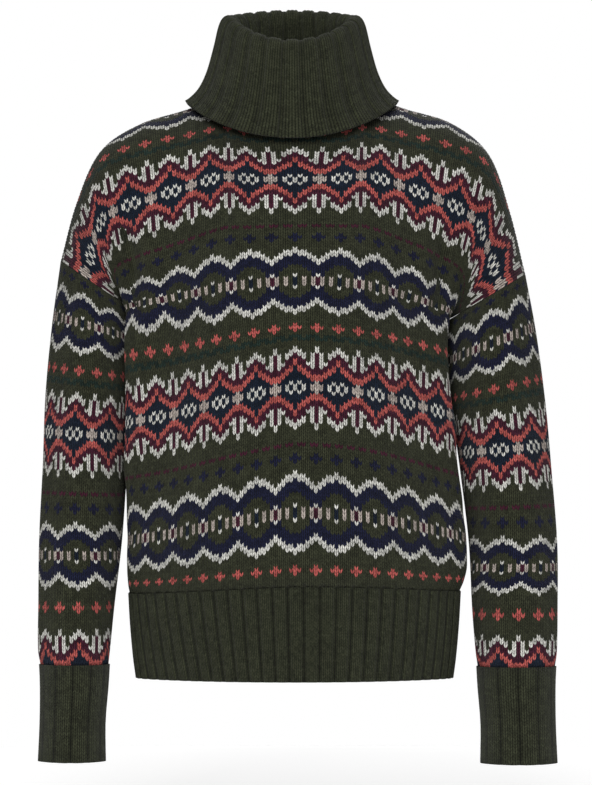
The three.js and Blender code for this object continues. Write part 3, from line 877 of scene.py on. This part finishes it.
def hemPiece(name, face, replaced):
    edge = -body["halfStitches"]
    up = np.minimum(np.arange(hem["rows"] + 2) / hem["rows"], 1)
    upGrid, stitch = np.meshgrid(up, panelStitches, indexing="ij")
    down = 1 - upGrid
    stitch = stitch + down * along(hemLean, "stitch", "across", stitch)
    top = torsoPoint(face, stitch, 0 * stitch)
    topZ = top[..., 2] - hem["gap"]
    x = top[..., 0] * along(hemSections, "down", "width", down)
    y = top[..., 1] * along(hemSections, "down", "depth", down)
    z = topZ + (hem["bottom"] - topZ) * down
    places = np.stack([x, y, z], -1)
    last = np.full(len(panelStitches), float(hem["rows"]))
    thick = rib["thickness"]

    def raised(stitches):
        return ribHeight(stitches - edge)

    piece = knit(name, places, panelStitches, last, plain, raised, thick, -face, every=(2, 4), first=edge)
    dress(piece, oliveRib, replaced)


hemPiece("hemFront", -1, "hem_rib_front")
hemPiece("hemBack", 1, "hem_rib_back")

cuff = {"ribs": 12, "length": 98, "rows": 30, "gap": 0.15}
cuffSections = columns(
    "down wider outward middle", (0, -1.5, 0, -21), (0.2, -2.5, 0, -24), (0.6, -4, 1.5, -30), (1, -3, 2, -36)
)


def cuffPiece(name, side, rows, replaced):
    count = cuff["ribs"] * rib["stitches"]
    stitches = np.arange(0, count, columnStep)
    up = np.minimum(np.arange(cuff["rows"] + 2) / cuff["rows"], 1)
    upGrid, stitch = np.meshgrid(up, stitches, indexing="ij")
    down = 1 - upGrid
    outer, inner, deep, endZ = (rows[key][-1] for key in ("outer", "inner", "front", "z"))
    half, middle = (outer - inner) / 2, (outer + inner) / 2

    def at(column):
        return along(cuffSections, "down", column, down)

    angle = 2 * math.pi * stitch / count * side
    x = side * (middle + at("outward") - (half + at("wider")) * np.cos(angle))
    y = at("middle") - (deep + at("wider")) * np.sin(angle)
    z = endZ - cuff["gap"] - down * cuff["length"]
    places = np.stack([x, y, z], -1)
    last = np.full(len(stitches), float(cuff["rows"]))
    piece = knit(name, places, stitches, last, plain, ribHeight, rib["thickness"], -1, True, (2, 4))
    dress(piece, oliveRib, replaced)


cuffPiece("cuffLeft", -1, leftSleeve, "cuff_left")
cuffPiece("cuffRight", 1, rightSleeve, "cuff_right")

collar = {"ribs": 24, "centre": -3, "turnIn": 3, "rows": 66, "steps": 200}
collarSections = columns(
    "at half middle front back frontUp sideUp backUp",
    (0, 69, 6, 77, 61, -26, 13, 30),
    (1, 61, 2, 66, 59, 3, 41, 54),
    (2, 57, 0, 59, 58, 37, 69, 79),
    (3, 57, 0, 59, 58, 55, 84, 94),
    (4, 62, 0, 64, 63, 63, 92, 102),
    (5, 69, 0, 71, 70, 62, 91, 101),
    (6, 74, 0, 76, 75, 52, 82, 91),
    (7, 79, 0, 82, 80, 32, 61, 70),
    (8, 86, 0, 88, 86, 7, 36, 47),
    (9, 94, 1, 93, 93, -14, 19, 31),
    (10, 103, 2, 97, 99, -28, 9, 20),
    (11, 109, 3, 100, 101, -36, 5, 13),
)


def collarPlaces(at, angle):
    def read(column):
        return along(collarSections, "at", column, at)

    ahead = np.cos(angle)
    middleUp = np.where(ahead > 0, read("frontUp"), read("backUp"))
    deep = np.where(ahead > 0, read("front"), read("back"))
    x = collar["centre"] * np.minimum(1, at / collar["turnIn"]) + read("half") * np.sin(angle)
    y = read("middle") - deep * ahead
    z = read("sideUp") + (middleUp - read("sideUp")) * np.abs(ahead) ** body["neckCurve"]
    return np.stack([x, y, z], -1)


def collarPiece():
    count = collar["ribs"] * rib["stitches"]
    stitches = np.arange(0, count, columnStep)
    angle = 2 * math.pi * stitches / count - math.pi / collar["ribs"]
    fine = np.linspace(0, collarSections["at"][-1], collar["steps"])
    atGrid, angleGrid = np.meshgrid(fine, angle, indexing="ij")
    line = collarPlaces(atGrid, angleGrid)
    length = np.cumsum(np.linalg.norm(np.diff(line, axis=0), axis=-1), 0).mean(1)
    share = np.concatenate([[0], length / length[-1]])
    up = np.minimum(np.arange(collar["rows"] + 2) / collar["rows"], 1)
    at = np.interp(up, share, fine)
    atGrid, angleGrid = np.meshgrid(at, angle, indexing="ij")
    places = collarPlaces(atGrid, angleGrid)
    last = np.full(len(stitches), float(collar["rows"]))
    piece = knit("rollCollar", places, stitches, last, plain, ribHeight, rib["thickness"], -1, True, (2, 2))
    dress(piece, collarRib, "collar")


collarPiece()
print("pieces made")

studio = {
    "floorZ": -0.74,
    "floorRadius": 1.3,
    "corners": 96,
    "paper": (0.94, 0.94, 0.94, 1),
    "roughness": 0.9,
    "glow": 0.3,
    "ambient": 0.25,
}
lamps = {  # where each is, what it points at, its size and its power
    "softKey": ((-0.35, -3.6, 1.3), (0, 0, -0.25), (1.3, 1.3), 88),
    "softFill": ((0.9, -3.6, 0.1), (0, 0, -0.3), (1.2, 1.6), 16),
    "topLight": ((0, -0.3, 2.2), (0, 0, -0.2), (1.2, 1.0), 12),
    "backLight": ((0.7, 3.4, 1.5), (0, 0, -0.3), (1.6, 1.6), 60),
}


def makeFloor():
    turns = [2 * math.pi * i / studio["corners"] for i in range(studio["corners"])]
    wide = studio["floorRadius"]
    vertices = [(wide * math.cos(a), wide * math.sin(a), studio["floorZ"]) for a in turns]
    mesh = bpy.data.meshes.new("floor")
    mesh.from_pydata(vertices, [], [tuple(range(studio["corners"]))])
    paper = bpy.data.materials.new("palePaper")
    paper.use_nodes = True
    shader = paper.node_tree.nodes["Principled BSDF"]
    shader.inputs["Base Color"].default_value = studio["paper"]
    shader.inputs["Roughness"].default_value = studio["roughness"]
    shader.inputs["Emission Color"].default_value = (1, 1, 1, 1)
    shader.inputs["Emission Strength"].default_value = studio["glow"]
    floor = bpy.data.objects.new("floor", mesh)
    mesh.materials.append(paper)
    bpy.context.collection.objects.link(floor)


def areaLight(name, place, target, size, power):
    data = bpy.data.lights.new(name, "AREA")
    data.shape = "RECTANGLE"
    data.size, data.size_y = size
    data.energy = power
    light = bpy.data.objects.new(name, data)
    light.location = place
    way = np.array(target) - np.array(place)
    light.rotation_mode = "QUATERNION"
    light.rotation_quaternion = Vector(way).to_track_quat("-Z", "Y")
    bpy.context.collection.objects.link(light)


makeFloor()
for lamp, values in lamps.items():
    areaLight(lamp, *values)

world = bpy.data.worlds.new("studio")  # white where the camera sees it, and a dim soft light elsewhere
world.use_nodes = True
sky = world.node_tree.nodes["Background"]
sky.inputs["Color"].default_value = (1, 1, 1, 1)
seen = node(world.node_tree, "ShaderNodeLightPath").outputs["Is Camera Ray"]
strength = maths(world.node_tree, "MAXIMUM", seen, studio["ambient"])
world.node_tree.links.new(strength, sky.inputs["Strength"])
bpy.context.scene.world = world
bpy.context.scene.view_settings.view_transform = "Standard"

camera = {"away": 5.5, "x": 0.001, "z": -0.293, "frameHeight": 0.8047, "sensor": 36, "farthest": 50}
lens = bpy.data.cameras.new("photoCamera")
lens.sensor_width = camera["sensor"]
lens.lens = camera["sensor"] * camera["away"] / camera["frameHeight"]
lens.clip_end = camera["farthest"]
viewer = bpy.data.objects.new("photoCamera", lens)
viewer.location = (camera["x"], -camera["away"], camera["z"])
viewer.rotation_euler = (quarter, 0, 0)
bpy.context.collection.objects.link(viewer)
bpy.context.scene.camera = viewer
print("studio made")
